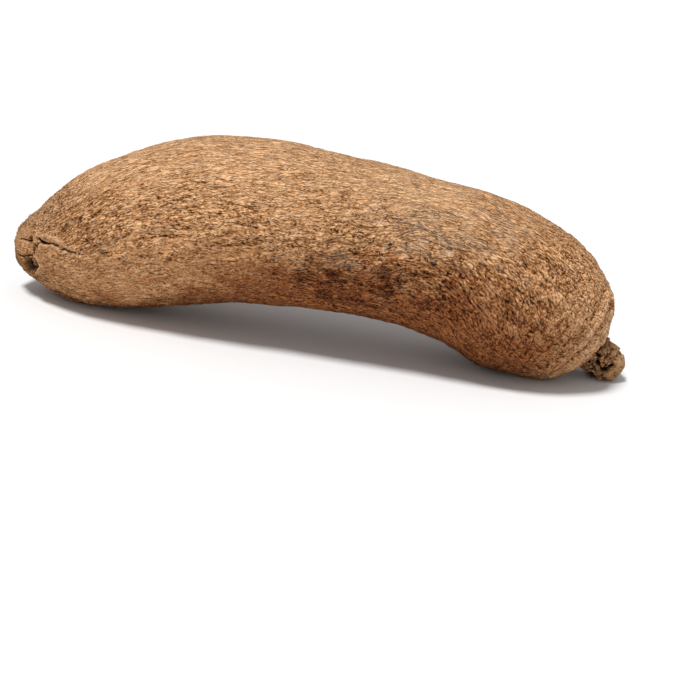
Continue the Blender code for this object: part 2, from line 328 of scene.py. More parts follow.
def spine(share, fine_steps=2000):
    """The spine's points, with its direction, side and up vectors, from summing its climb and turn."""
    fine = np.linspace(0, CLIMB[-1][0], fine_steps)
    climb = np.radians(smooth_through(CLIMB, fine))
    turn = np.radians(smooth_through(TURN, fine))
    ahead = np.stack([np.cos(climb) * np.cos(turn), np.cos(climb) * np.sin(turn), np.sin(climb)], 1)
    path = np.cumsum(ahead, axis=0) * fine[1] * LENGTH
    point = np.stack([np.interp(share, fine, path[:, axis]) for axis in range(3)], -1)
    ahead = np.stack([np.interp(share, fine, ahead[:, axis]) for axis in range(3)], -1)
    side = np.cross((0, 0, 1), ahead)
    side /= np.linalg.norm(side, axis=-1, keepdims=True)
    return point, ahead, side, np.cross(ahead, side)


def body_rings(share, angle):
    """Rings round the spine: cosine of the angle sideways, sine up, and the underside hung deeper."""
    centre, _, side, up = (part[:, None] for part in spine(share))
    below = ((1 - np.sin(angle)) / 2) ** 1.5
    radius = smooth_through(GIRTH, share)[:, None] + smooth_through(BELLY, share)[:, None] * below
    return centre + radius[..., None] * (np.cos(angle)[..., None] * side + np.sin(angle)[..., None] * up)


def place_on_skin(share, angle):
    """The point on the plain body at a share and an angle in degrees."""
    return body_rings(np.array([share]), np.radians([angle]))[0, 0]


def outward(points, inside):
    """Unit vectors across the skin, from the differences between neighbouring rings and points."""
    along = np.gradient(points, axis=0)
    round_ring = np.roll(points, -1, axis=1) - np.roll(points, 1, axis=1)
    normal = np.cross(round_ring, along)
    normal /= np.linalg.norm(normal, axis=-1, keepdims=True)
    return normal * np.sign(np.sum(normal * (points - inside)))


def grain_of(share, angle):
    """Where each point lies in the bark's grain: its length along the spine, counted faster at the head, and
    a place on a circle that shrinks less than the skin does, turned by the twist."""
    pull = WIDEST * (smooth_through(GIRTH, share)[:, None] / WIDEST) ** 0.6
    place = share[:, None]
    from_top = np.cos(angle - np.radians(TWIST_MIDDLE))
    lower = 0.5 + 0.5 * np.cos(angle - np.radians(HEAD_TWIST_MIDDLE))
    turned = (angle + TAIL_TWIST * rise(place, 0.02, 0.28) * from_top
              + UPPER_TWIST * rise(place, 0.45, 0.85) * (0.5 + 0.5 * from_top)
              - HEAD_TWIST * rise(place, 0.68, 0.92) * lower)
    counted = share + SHORTENING * np.clip(share - SHORTENS_FROM, 0, 1) ** 2
    along = counted[:, None] * LENGTH + 0 * turned
    return np.stack([along, pull * np.cos(turned), pull * np.sin(turned)], -1)


def wandered(grain):
    """The grain with its lines bent from side to side by smooth noise."""
    shift = [WANDER * noise(grain / WANDER_SIZE, seed) for seed in (101, 111, 121)]
    return grain + np.stack(shift, -1)


# Places and patches

def distance_from(points, place):
    """Each point's distance from a place on the plain body."""
    return np.linalg.norm(points - place_on_skin(*place), axis=-1)


def distance_to_path(points, path):
    """Each point's distance to the nearest place on a path of straight runs through places on the skin."""
    corners = [place_on_skin(*place) for place in path]
    nearest = np.full(points.shape[:-1], 1.0)
    for start, end in zip(corners[:-1], corners[1:]):
        run = end - start
        t = np.clip(np.sum((points - start) * run, axis=-1) / np.sum(run * run), 0, 1)
        nearest = np.minimum(nearest, np.linalg.norm(points - (start + t[..., None] * run), axis=-1))
    return nearest


def stroke(points, path, radius):
    """A rounded stroke along a path: 1 on it, and 0 from the radius outwards."""
    return bump(distance_to_path(points, path), radius)


def spots(points, places, radius):
    """Round humps at places on the skin: 1 in the middle of each, and 0 from the radius outwards."""
    return np.max([bump(distance_from(points, place), radius) for place in places], axis=0)


def swells(skin, size, seed):
    """Smooth noise over the plain skin, in swells of a size in metres."""
    return noise(skin.points / size, seed)


def jittered(skin, amount, size, seeds=(141, 151, 161)):
    """The skin's points pushed about by noise, so that what is drawn from them has ragged edges."""
    shift = [swells(skin, size, seed) for seed in seeds]
    return skin.points + amount * np.stack(shift, -1)


def unrolled(skin, share, angle):
    """Distances along the spine and round the skin from a share and an angle in degrees."""
    turn = np.angle(np.exp(1j * (skin.angle - np.radians(angle))))
    return (skin.share - share) * LENGTH + 0 * turn, turn * skin.radius


def patches(skin, ovals, ragged):
    """Soft ovals with ragged edges: bell curves of the distance over each half size, pushed by noise."""
    total = 0
    for share, angle, half_length, half_width in ovals:
        along, across = unrolled(skin, share, angle)
        total = np.maximum(total, np.exp(-((along / half_length) ** 2 + (across / half_width) ** 2)))
    edge = (ragged * swells(skin, size=0.009, seed=301)
            + ragged * swells(skin, size=0.0035, seed=311))
    return rise(total + edge * rise(total, 0.02, 0.3), 0.15, 0.75)


def inside_corners(skin, corners):
    """How far each point is inside a flat shape with straight sides, unrolled; negative outside it."""
    middle_share, middle_angle = np.mean(corners, axis=0)
    along, across = unrolled(skin, middle_share, middle_angle)
    radius = float(smooth_through(GIRTH, np.array([middle_share]))[0])
    flat = np.array([((share - middle_share) * LENGTH, np.radians(angle - middle_angle) * radius)
                     for share, angle in corners])
    inside = np.full(along.shape, 1.0)
    for start, end in zip(flat, np.roll(flat, -1, axis=0)):
        run = (end - start) / np.linalg.norm(end - start)
        inside = np.minimum(inside, -((along - start[0]) * run[1] - (across - start[1]) * run[0]))
    return inside


# Relief of the bark

def broad_relief(skin):
    """Height of lumps and long ridges: noise on the plain form, and sharp noise stretched lengthwise."""
    long_grain = np.stack([skin.share * LENGTH / RIDGE_LENGTH + 0 * skin.angle,
                           skin.radius * np.cos(skin.angle) / RIDGE_SPACING,
                           skin.radius * np.sin(skin.angle) / RIDGE_SPACING], -1)
    lumps = swells(skin, LUMP_SIZE, LUMP_SEED)
    ridges = 1 - 2 * np.abs(noise(long_grain, RIDGE_SEED))
    return LUMP_HEIGHT * lumps + RIDGE_HEIGHT * (ridges - 0.5)


def in_grain(grain, size):
    """The grain counted in the lengths and widths of one kind of wrinkle."""
    _, length, width = size
    return grain / (length, width, width)


def bark_relief(skin, calm, head):
    """Heights of the coarse and of the finer wrinkles: winding ridges, longer along the body than across it
    and round at the head, and lower where the skin is calm."""
    bent = wandered(skin.grain)
    strong = 0.85 + 0.45 * swells(skin, size=0.020, seed=201)
    coarse = strong * COARSE_WRINKLE[0] * noise(in_grain(bent, COARSE_WRINKLE), seed=31)
    main = MAIN_WRINKLE[0] * (0.5 * wormed(in_grain(bent, MAIN_WRINKLE), seed=41)
                              + 0.7 * furrowed(in_grain(bent, MAIN_WRINKLE), seed=45))
    round_ones = HEAD_WRINKLE[0] * (0.3 * wormed(in_grain(bent, HEAD_WRINKLE), seed=71)
                                    + 0.8 * furrowed(in_grain(bent, HEAD_WRINKLE), seed=75))
    coarse = coarse + head * HEAD_LUMP[0] * swells(skin, size=HEAD_LUMP[1], seed=61)
    fine = FINE_WRINKLE[0] * furrowed(in_grain(bent, FINE_WRINKLE), seed=51)
    finer = strong * (main * (1 - head) + round_ones * head + fine)
    return coarse * (1 - 0.4 * calm), finer * (1 - 0.6 * calm)


def pimple_relief(skin):
    """Height of scattered pimples: a round hump on some of the seeds, each of its own size."""
    nearest, _, number = cells(skin.points / PIMPLE_SPACING, seed=81)
    size = rise(number, 0.1, 1.0)
    return PIMPLE_HEIGHT * size * bump(nearest * PIMPLE_SPACING, PIMPLE_RADIUS * (0.6 + 0.6 * size))


def long_cracks(skin):
    """How near each point is to one of the longer cracks over the middle: 1 on it."""
    points = jittered(skin, amount=0.0006, size=0.0040, seeds=(96, 97, 99))
    return np.max([stroke(points, path, LONG_CRACK_RADIUS) for path in LONG_CRACKS], axis=0)


def cracked_of(skin):
    """How cracked the skin is: a soft oval over the middle of the front, broken by noise."""
    share, angle, half_length, half_width = CRACKED
    along, across = unrolled(skin, share, angle)
    oval = np.exp(-((along / half_length) ** 2 + (across / half_width) ** 2))
    return rise(oval + 0.30 * swells(skin, size=0.012, seed=95), 0.15, 0.70)


def eye_relief(skin):
    """Height of small round eyes, each a rim round a pit, how dark each pit is and how light each rim is."""
    from_eye = np.min([distance_from(skin.points, place) for place in EYES], axis=0)
    rim = np.exp(-(((from_eye - 0.75 * EYE_RADIUS) / (0.35 * EYE_RADIUS)) ** 2))
    pit = bump(from_eye, 0.8 * EYE_RADIUS)
    return EYE_RIM_HEIGHT * rim - EYE_PIT_DEPTH * pit, pit, rim


def fold_relief(skin):
    """Height of the folds round the crown, each a rounded ridge or groove that wavers along its round, and
    breaks off here and there away from the front."""
    leaning = FOLD_LEAN * np.cos(skin.angle - np.radians(FOLD_LEAN_ANGLE))
    waver = FOLD_WAVER * swells(skin, size=0.020, seed=131) - leaning
    height = 0
    for place, fold_height, half_width in FOLDS:
        height = height + fold_height * np.exp(-(((skin.share + waver - place) / half_width) ** 2))
    front = rise(np.cos(skin.angle - np.radians(FOLD_FRONT)), 0.2, 0.8)
    return height * np.maximum(front, 0.15 + 0.85 * rise(swells(skin, size=0.012, seed=141), -0.3, 0.4))


def end_relief(skin):
    """Height of the lump at the tail's end, in its dish and furrows, with the hole and its line, and how dark
    each place is."""
    points = jittered(skin, amount=0.0005, size=0.0030)
    lump = END_LUMP_HEIGHT * bump(distance_from(points, END_LUMP), END_LUMP_RADIUS)
    dish = bump(distance_from(points, END_DISH), END_DISH_RADIUS)
    hole = rise(-distance_from(points, HOLE), -HOLE_RADIUS, -0.4 * HOLE_RADIUS)
    line = stroke(points, HOLE_LINE, HOLE_LINE_RADIUS)
    edge = stroke(points, LOWER_EDGE, LOWER_EDGE_RADIUS)
    valley = stroke(points, VALLEY, VALLEY_RADIUS)
    height = (lump - END_DISH_DEPTH * dish - HOLE_DEPTH * hole - END_LINE_DEPTH * (line + edge)
              - VALLEY_DEPTH * valley)
    dark = 1.2 * hole + 1.1 * line + 1.1 * edge + 0.85 * valley + 0.25 * dish
    return height, np.clip(dark, 0, 1)


def scar_relief(skin):
    """Height of the hollow scar in its raised rim, how dark each place is, where its bare floor is, and how
    light its rim is."""
    points = jittered(skin, amount=0.0006, size=0.0030)
    inside = inside_corners(skin, SCAR_CORNERS) + 0.0005 * swells(skin, size=0.002, seed=171)
    hollow = rise(inside, 0, SCAR_WALL)
    rim = stroke(points, SCAR_RIDGE, SCAR_RIDGE_RADIUS)
    floor = hollow * stroke(points, SCAR_FLOOR, SCAR_FLOOR_RADIUS)
    rough = 0.0010 * swells(skin, size=0.0026, seed=175) * hollow
    height = SCAR_RIDGE_HEIGHT * rim + rough - SCAR_DEPTH * hollow * (1 - 0.45 * floor)
    dark = hollow * (1 - floor) * (0.85 + 0.4 * swells(skin, size=0.0022, seed=177))
    return height, np.clip(dark, 0, 1), floor, rim * (1 - 0.6 * hollow)


def crack_relief(skin):
    """Height of the tail's crack under its raised lip, with its branch, of the second crack and of the
    gashes, and how dark and how light each place is."""
    points = jittered(skin, amount=0.0006, size=0.0035)
    broken = 0.6 + 0.4 * rise(swells(skin, size=0.006, seed=181), -0.5, 0.3)
    crack = broken * stroke(points, CRACK, CRACK_RADIUS)
    lesser = broken * np.maximum(stroke(points, BRANCH, 0.8 * CRACK_RADIUS),
                                 stroke(points, SECOND_CRACK, 0.8 * CRACK_RADIUS))
    lip = stroke(points, CRACK_LIP, LIP_RADIUS)
    under = stroke(points, CRACK_UNDER, UNDER_RADIUS)
    gash = broken * np.max([stroke(points, path, GASH_RADIUS) for path in GASHES], axis=0)
    height = (LIP_HEIGHT * lip + UNDER_HEIGHT * under - CRACK_DEPTH * crack - LESSER_CRACK_DEPTH * lesser
              - LESSER_CRACK_DEPTH * gash)
    dark = np.clip(1.6 * crack + 1.2 * lesser + 0.5 * gash, 0, 1)
    return height, dark, np.maximum(lip, under) * (1 - crack)


def stain_and_shade_of(skin):
    """How stained the skin is, with painted shade in one band low on the flank: ragged ovals, and strokes with
    ragged edges.
    """
    bent = jittered(skin, amount=0.0010, size=0.0035)
    streaks = np.max([stroke(bent, path, STAIN_STROKE_RADIUS) for path in STAIN_STROKES], axis=0)
    return np.maximum(0.60 * patches(skin, STAINS_AND_SHADE, 0.60), 0.7 * streaks)


def head_of(skin):
    """How far into the head the skin is: 0 before it and 1 well into it, with a ragged start."""
    return rise(skin.share + 0.06 * swells(skin, size=0.025, seed=211), 0.76, 0.90) + 0 * skin.angle


def soil_and_shade_of(skin):
    """How much soil stain and painted shade darken the skin: more below the flank and towards the head, in
    ragged clouds.
    """
    below = 1.4 * np.cos(skin.angle - np.radians(SOIL_AND_SHADE_ANGLE))
    towards_head = 1.1 * rise(skin.share, 0.15, 0.70) - 0.75
    cloud = 0.35 * swells(skin, size=0.016, seed=221) + 0.20 * swells(skin, size=0.006, seed=231)
    return rise(below + towards_head + cloud, -0.10, 1.0) * (1 - 0.6 * rise(skin.share, 0.90, 0.96))


def pale_lit_top_of(skin):
    """How pale the skin is on the top, between both ends and most towards the head, with a ragged lower edge:
    partly paler, smoother bark and partly painted light where the light from above falls."""
    facing = np.cos(skin.angle - np.radians(PALE_LIT_TOP_ANGLE)) + 0.20 * swells(skin, size=0.012, seed=241)
    facing = facing + 0.10 * rise(skin.share, 0.50, 0.72)
    ends = rise(skin.share, 0.10, 0.24) * rise(-skin.share, -0.86, -0.72)
    return rise(facing, 0.55, 0.95) * ends * (1 + 0.3 * rise(skin.share, 0.52, 0.62))


# Meshes

def closed_mesh(name, points, attributes):
    """A mesh of quads between rings, with a fan of triangles to a pole beyond each end ring."""
    rings, around, _ = points.shape
    middles = points[[0, 1, -1, -2]].mean(axis=1)
    poles = (middles[0] - POLE_RISE * (middles[1] - middles[0]),
             middles[2] + POLE_RISE * (middles[2] - middles[3]))
    i, j = np.meshgrid(np.arange(rings - 1), np.arange(around), indexing="ij")
    k = (j + 1) % around
    quads = np.stack([i * around + j, (i + 1) * around + j, (i + 1) * around + k, i * around + k], -1)
    first = np.arange(around)
    after = (first + 1) % around
    last = (rings - 1) * around
    fans = np.concatenate([
        np.stack([np.full(around, rings * around), first, after], -1),
        np.stack([np.full(around, rings * around + 1), last + after, last + first], -1)])
    vertices = np.concatenate([points.reshape(-1, 3), poles])
    mesh = bpy.data.meshes.new(name)
    mesh.from_pydata(vertices, [], quads.reshape(-1, 4).tolist() + fans.tolist())
    mesh.shade_smooth()
    for label, values in attributes.items():
        add_attribute(mesh, label, values)
    return mesh


def add_attribute(mesh, label, values):
    """Puts one number or vector per point into the mesh, with the mean of the end rings at the poles."""
    vector = values.ndim == 3
    flat = values.reshape(-1, 3) if vector else values.reshape(-1)
    ends = [values[0].mean(axis=0), values[-1].mean(axis=0)]
    flat = np.concatenate([flat, np.array(ends).reshape(-1, *flat.shape[1:])]).astype(np.float32)
    kind = "FLOAT_VECTOR" if vector else "FLOAT"
    made = mesh.attributes.new(label, kind, "POINT")
    made.data.foreach_set("vector" if vector else "value", flat.ravel())


def facing_out(mesh):
    """Turns every face over where the mesh's signed volume is negative."""
    corners = np.zeros(len(mesh.vertices) * 3)
    mesh.vertices.foreach_get("co", corners)
    corners = corners.reshape(-1, 3)
    mesh.calc_loop_triangles()
    triangles = np.zeros(len(mesh.loop_triangles) * 3, dtype=np.int32)
    mesh.loop_triangles.foreach_get("vertices", triangles)
    a, b, c = (corners[triangles.reshape(-1, 3)[:, n]] for n in range(3))
    if np.sum(a * np.cross(b, c)) < 0:
        mesh.flip_normals()


def add_piece(name, points, attributes, material):
    """A finished piece that rides on the tuber's one body and stands for the solid."""
    mesh = closed_mesh(name, points, attributes)
    facing_out(mesh)
    mesh.materials.append(material)
    piece = bpy.data.objects.new(name, mesh)
    bpy.context.scene.collection.objects.link(piece)
    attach(piece, "root")
    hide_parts("yam")


def cap_rings(last, count, ahead):
    """Rings from the shoulder in to the spine, sunk into a dish by a quarter sine over the first part of the
    way in."""
    step = ((np.arange(count) + 1) / (count + 0.6))[:, None, None]
    middle = last.mean(axis=0)
    sunk = np.sin(np.pi / 2 * np.clip(step * 2.2, 0, 1))
    return middle + (last - middle) * (1 - step) - CAP_DISH * sunk * ahead


def plain_skin():
    """The plain skin of the tuber, its spine's start at the origin. The angles round each ring run evenly,
    less a sine that draws them together at the front."""
    turn = np.linspace(0, 2 * np.pi, POINTS_ROUND, endpoint=False)
    angle = turn - FRONT_CLOSER * np.sin(turn - np.radians(FRONT))
    share = smooth_through(RING_PLACES, np.linspace(0, 1, BODY_RINGS))
    radius = smooth_through(GIRTH, share)[:, None]
    return Skin(share[:, None], angle[None], radius, body_rings(share, angle), grain_of(share, angle))


def raised(skin, height):
    """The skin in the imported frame: moved outwards by its relief, closed by the dish, and not below z = 0."""
    centre, ahead, _, _ = spine(skin.share[:, 0])
    points = skin.points + height[..., None] * outward(skin.points, centre[:, None])
    points = np.concatenate([points, cap_rings(points[-1], CAP_RINGS, ahead[-1])]) + SPINE_START
    points[..., 2] = np.maximum(points[..., 2], 0)
    return points


def make_tuber(material):
    """The whole skin from the tail's tip to the dish under the knob, with all its relief and marks."""
    skin = plain_skin()
    smooth = patches(skin, SMOOTH_PATCHES, 0.35)
    # The pale top and the pale patches: paler, smoother bark, partly painted light from above.
    pale_lit_top = np.maximum(pale_lit_top_of(skin), 0.6 * patches(skin, PALE_PATCHES, 0.50))
    head = head_of(skin)
    coarse, fine = bark_relief(skin, np.maximum(smooth, 0.6 * pale_lit_top), head)
    split = long_cracks(skin)
    pimples = pimple_relief(skin)
    folds = fold_relief(skin)
    eyes, eye_dark, eye_light = eye_relief(skin)
    end, end_dark = end_relief(skin)
    scar, scar_dark, scar_floor, scar_light = scar_relief(skin)
    cracks, crack_dark, crack_light = crack_relief(skin)
    nub = stroke(skin.points, NUB, NUB_RADIUS)
    bark = (coarse + fine + pimples) * (1 - 0.7 * scar_floor)
    height = (broad_relief(skin) + bark - LONG_CRACK_DEPTH * split + folds + eyes + end + scar + cracks
              + NUB_HEIGHT * nub)

    # Painted shade, partly soil stain: the skin darkened below the flank and towards the head.
    soil = soil_and_shade_of(skin)
    crown = rise(skin.share + 0.004 * swells(skin, size=0.010, seed=251), 0.93, 0.965)
    # The painted shade with soil also lowers the crests' tone.
    dull = 0.26 * soil + 0.30 * patches(skin, DULL_PATCHES, 0.30)
    crest = 0.60 + (0.35 * coarse + fine + pimples + 0.8 * folds) / CREST_SPAN - dull
    pale_spots = spots(skin.points, PALE_SPOTS, PALE_SPOT_RADIUS)
    attributes = {
        "grain": skin.grain / MM,
        "crest": np.clip(crest, 0, 1),
        "dark": np.max([end_dark, scar_dark, crack_dark, 0.6 * eye_dark, 0.65 * split], axis=0),
        "stain": np.maximum(stain_and_shade_of(skin), 0.9 * nub),
        "worn": patches(skin, WORN_PATCHES, 0.40),
        "smooth": smooth,
        "scar": scar_floor,
        "sap": stroke(skin.points, SAP, SAP_RADIUS),
        "pale": np.maximum(pale_lit_top, 0.7 * crown),
        "light": np.max([scar_light, crack_light, 0.7 * eye_light, pale_spots], axis=0),
        "cracked": cracked_of(skin),
        "head": head,
        "soil": soil}
    attributes = {label: np.concatenate([values, np.repeat(values[-1:], CAP_RINGS, axis=0)])
                  for label, values in attributes.items()}
    add_piece("tuber", raised(skin, height), attributes, material)


def lathed_knob():
    """The plain knob, lathed round its axis from its profile, with each ring's distance along the axis and
    its middle, and the middle of the smooth hump on its side."""
    shoulder = spine(np.array([1.0]))[0][0] + SPINE_START
    axis = np.array(KNOB_OFFSET) / np.linalg.norm(KNOB_OFFSET)
    side = np.cross((0, 0, 1), axis)
    side /= np.linalg.norm(side)
    up = np.cross(axis, side)
    step = np.linspace(0, 1, KNOB_RINGS)
    angle = np.linspace(0, 2 * np.pi, KNOB_ROUND, endpoint=False)
    along = smooth_through([(place, distance) for place, distance, _ in KNOB_PROFILE], step)[:, None]
    radius = smooth_through([(place, size) for place, _, size in KNOB_PROFILE], step)[:, None]
    middle = shoulder + along[..., None] * axis
    points = middle + radius[..., None] * (np.cos(angle)[:, None] * side + np.sin(angle)[:, None] * up)
    hump = shoulder + KNOB_MIDDLE * axis + KNOB_HUMP_OUT * np.array(KNOB_HUMP)
    return points, along, middle, hump


def make_knob(material):
    """The crown knob: a lathed lump bent by noise, and pushed out into lobes that crevices and holes part, with
    painted shade round its base.
    """
    plain, along, middle, hump_middle = lathed_knob()
    amount, size = KNOB_WARP
    bent = plain + amount * np.stack([noise(plain / size, seed) for seed in (401, 411, 421)], -1)
    nearest, second, number = cells(bent / KNOB_LOBE[1], seed=431)
    lobes = rise(second - nearest, 0, 0.40)
    lumps = wormed(bent / KNOB_LUMP[1], seed=441)
    grit = noise(plain / KNOB_GRIT[1], seed=451)
    holes = rise(noise(plain / KNOB_HOLE[1], seed=461), 0.26, 0.56)
    hump = bump(np.linalg.norm(plain - hump_middle, axis=-1), KNOB_HUMP_RADIUS)
    calm = 1 - 0.9 * rise(hump, 0.02, 0.45)
    height = (KNOB_LOBE[0] * (lobes - 0.7) * calm + KNOB_LUMP[0] * lumps * calm + KNOB_GRIT[0] * grit
              + KNOB_HUMP_HEIGHT * hump - KNOB_HOLE[0] * holes * calm)
    points = plain + height[..., None] * outward(plain, middle)
    points[..., 2] = np.maximum(points[..., 2], 0)

    crest = 0.84 + 0.30 * lobes * (0.6 + 0.5 * number) + 0.85 * lumps + 0.2 * grit
    # Painted shade: the knob's base, sunk in the crown's dish, is darkened.
    sunken_shade = 1 - rise(along + 0.004 * noise(plain / 0.006, seed=471), 0.008, 0.015)
    dark = calm * (0.95 * holes + 0.8 * (1 - rise(lobes, 0.0, 0.18))) + 0.4 * sunken_shade
    one = np.ones_like(crest)
    attributes = {
        "grain": plain / MM,
        "crest": np.clip(crest, 0, 1),
        "dark": np.clip(dark, 0, 1),
        "stain": 0 * one,
        "worn": 0.6 * (1 - calm),
        "smooth": 0 * one,
        "scar": 0 * one,
        "sap": 0.22 * calm,
        "pale": 0.3 * one,
        "light": rise(lumps, -0.05, 0.20),
        "cracked": 0 * one,
        "head": one,
        # A little painted shade, partly soil stain, evenly over the knob.
        "soil": 0.1 * one}
    add_piece("crown_knob", points, attributes, material)


# Shader maths

class Value:
    """One output of a material's nodes; arithmetic on it adds Math nodes."""

    def __init__(self, finish, socket):
        self.finish = finish
        self.socket = socket

    def math(self, operation, first, second, clamp=False):
        settings = {"operation": operation, "use_clamp": clamp}
        return self.finish.node("ShaderNodeMath", settings, {0: first, 1: second})

    def __add__(self, other):
        return self.math("ADD", self, other)

    def __radd__(self, other):
        return self.math("ADD", other, self)

    def __sub__(self, other):
        return self.math("SUBTRACT", self, other)

    def __rsub__(self, other):
        return self.math("SUBTRACT", other, self)

    def __mul__(self, other):
        return self.math("MULTIPLY", self, other)

    def __rmul__(self, other):
        return self.math("MULTIPLY", other, self)


class Finish:
    """A material on a Principled surface, with one method that adds any node."""

    def __init__(self, name):
        self.material = bpy.data.materials.new(name)
        self.material.use_nodes = True
        self.tree = self.material.node_tree
        self.shader = self.tree.nodes["Principled BSDF"]

    def node(self, kind, settings=None, sockets=None, output=0):
        """Adds a node: its settings first, then each socket's number, colour or link."""
        node = self.tree.nodes.new(kind)
        for name, value in (settings or {}).items():
            if name == "stops":
                self.fill_ramp(node.color_ramp, value)
            else:
                setattr(node, name, value)
        for place, value in (sockets or {}).items():
            self.put(node.inputs[place], value)
        return Value(self, node.outputs[output])

    def put(self, socket, value):
        """Links a value to a socket, or sets the socket's own number or colour."""
        if isinstance(value, Value):
            self.tree.links.new(value.socket, socket)
        else:
            socket.default_value = value

    def fill_ramp(self, ramp, stops):
        """Gives a colour ramp its stops, each a place and a colour."""
        while len(ramp.elements) > len(stops):
            ramp.elements.remove(ramp.elements[-1])
        while len(ramp.elements) < len(stops):
            ramp.elements.new(1.0)
        for element, (place, colour) in zip(ramp.elements, stops):
            element.position = place
            element.color = colour

    def attribute(self, name, vector=False):
        """A named number of the mesh, or a named vector."""
        output = "Vector" if vector else "Fac"
        return self.node("ShaderNodeAttribute", {"attribute_name": name}, output=output)

    def stretched(self, vector, length, width, offset=0.0):
        """A place in the grain divided by a feature's length along it and its width across it."""
        scale = (1 / length, 1 / width, 1 / width)
        moved = self.node("ShaderNodeVectorMath", {"operation": "MULTIPLY"}, {0: vector, 1: scale})
        return self.node("ShaderNodeVectorMath", {"operation": "ADD"}, {0: moved, 1: (offset,) * 3})

    def noise(self, vector, detail=2.0, roughness=0.5, distortion=0.0):
        """Smooth noise from 0 to 1 over a place, with its finer layers."""
        sockets = {"Vector": vector, "Scale": 1.0, "Detail": detail, "Roughness": roughness,
                   "Distortion": distortion}
        return self.node("ShaderNodeTexNoise", {"noise_dimensions": "3D"}, sockets)

    def span(self, value, low, high, to_low=0.0, to_high=1.0):
        """A value's span from low to high spread smoothly over another span, and held beyond its ends."""
        settings = {"interpolation_type": "SMOOTHSTEP"}
        sockets = {"Value": value, "From Min": low, "From Max": high, "To Min": to_low, "To Max": to_high}
        return self.node("ShaderNodeMapRange", settings, sockets)

    def from_middle(self, value):
        """How far a noise value is from its middle: 0 along thin winding lines."""
        return value.math("ABSOLUTE", value - 0.5, 0.0)

    def rounded(self, value, reach):
        """Rounded ridges between sharp furrows: t (2 - t), where t is the value over its reach, up to 1."""
        t = value.math("MULTIPLY", value, 1 / reach, clamp=True)
        return t * (2 - t)

    def ramp(self, value, stops):
        """A value turned into a colour through stops, each a place and a colour."""
        return self.node("ShaderNodeValToRGB", {"stops": stops}, {"Fac": value}, "Color")

    def mix(self, factor, first, second, blend="MIX"):
        """Two colours, the node's inputs 6 and 7, mixed by a factor and by the named way of blending."""
        settings = {"data_type": "RGBA", "blend_type": blend, "clamp_factor": True}
        return self.node("ShaderNodeMix", settings, {0: factor, 6: first, 7: second}, 2)


def tint(red, green, blue):
    """A colour given as screen values from 0 to 255, as the linear colour that shaders take."""
    screen = np.array([red, green, blue]) / 255
    linear = np.where(screen <= 0.04045, screen / 12.92, ((screen + 0.055) / 1.055) ** 2.4)
    return (*map(float, linear), 1.0)


# Colours of the bark
PALE_CORK = tint(231, 181, 134)
MID_CORK = tint(192, 137, 88)
DEEP_CORK = tint(136, 83, 43)
FISSURE = tint(50, 25, 10)
FLAKE = tint(246, 222, 190)
GREY_CORK = tint(172, 146, 122)
STAIN_AND_SHADE_BROWN = tint(166, 142, 114)
SOIL_AND_SHADE_BROWN = tint(184, 140, 98)
PIT_BLACK = tint(22, 12, 7)
SCAR_BROWN = tint(186, 142, 100)
SAP_AMBER = tint(186, 120, 54)

# The height of the bark's finest relief, its noises, and its furrows
BUMP_DISTANCE = 0.0012
Pattern = namedtuple("Pattern", "wave mottled wide_ridge thin fibres grit low deep flakes")
Furrows = namedtuple("Furrows", "thin_lines dashes opened deep_lines")


def bark_pattern(bark):
    """The noises of the bark in its grain. The first two numbers of each are its length along the grain and
    its width across it in millimetres, and the third sets it apart from the others."""
    grain = bark.attribute("grain", vector=True)
    wide = bark.noise(bark.stretched(grain, 8.0, 2.3, 3.0), detail=1, distortion=0.5)
    thin = bark.noise(bark.stretched(grain, 5.5, 1.2, 23.0), detail=1, distortion=0.5)
    deep = bark.noise(bark.stretched(grain, 15.0, 4.0, 31.0), detail=2, distortion=1.6)
    return Pattern(
        wave=bark.noise(bark.stretched(grain, 38, 22), detail=2),
        mottled=bark.noise(bark.stretched(grain, 8, 4, 7.0), detail=2, roughness=0.6),
        wide_ridge=bark.rounded(bark.from_middle(wide), 0.13),
        thin=bark.from_middle(thin),
        fibres=bark.noise(bark.stretched(grain, 4.4, 0.80, 13.0), detail=2, roughness=0.6, distortion=0.6),
        grit=bark.noise(bark.stretched(grain, 1.6, 0.65, 11.0), detail=1),
        low=bark.noise(bark.stretched(grain, 6.0, 1.3, 41.0), detail=2, distortion=0.6),
        deep=bark.from_middle(deep),
        flakes=bark.noise(bark.stretched(grain, 2.6, 0.9, 17.0), detail=2, roughness=0.6))


def bark_furrows(bark, pattern):
    """Thin winding lines, short dashes where one noise is low, how far the cracked skin is opened, and the
    deep lines in it, each from 0 to 1."""
    cracked = bark.attribute("cracked")
    thin_lines = bark.span(pattern.thin, 0.0, 0.040, 1.0, 0.0) * bark.span(pattern.mottled, 0.35, 0.60)
    dashes = bark.span(pattern.low, 0.43, 0.35) * (1 - 0.6 * bark.attribute("head")) * (1 - 0.7 * cracked)
    dashes = dashes * (1 - 0.4 * bark.attribute("soil"))
    opened = cracked * bark.span(pattern.mottled, 0.32, 0.48)
    deep_lines = bark.span(pattern.deep, 0.0, 0.026, 1.0, 0.0) * opened
    return Furrows(thin_lines, dashes, opened, deep_lines)


def bark_tone(bark, pattern, furrows):
    """How light the cork is, from 0 to 1: its crests and pale patches, with the pale top partly as painted
    light, less its stains, with a band of painted shade, and its furrows, with fibres and grit that are weaker
    where the skin is pale or smooth."""
    smooth = bark.attribute("smooth")
    pale = bark.attribute("pale")
    cracked = bark.attribute("cracked")
    rough = 1 - 0.35 * pale - 0.45 * smooth - 0.15 * cracked
    # The pale top is lightened, partly as painted light from above.
    broad = (0.685 + 0.36 * (bark.attribute("crest") - 0.6) + 0.14 * pale - 0.09 * smooth
             - 0.12 * bark.attribute("stain") - 0.04 * cracked - 0.65 * furrows.deep_lines
             + 0.3 * (pattern.wave - 0.5))
    fine = (0.95 * (pattern.fibres - 0.5) + 1.50 * (pattern.grit - 0.5) + 0.30 * (pattern.mottled - 0.5)
            + 0.18 * (pattern.wide_ridge - 0.7) - 0.36 * furrows.dashes - 0.28 * furrows.thin_lines)
    return broad + rough * fine


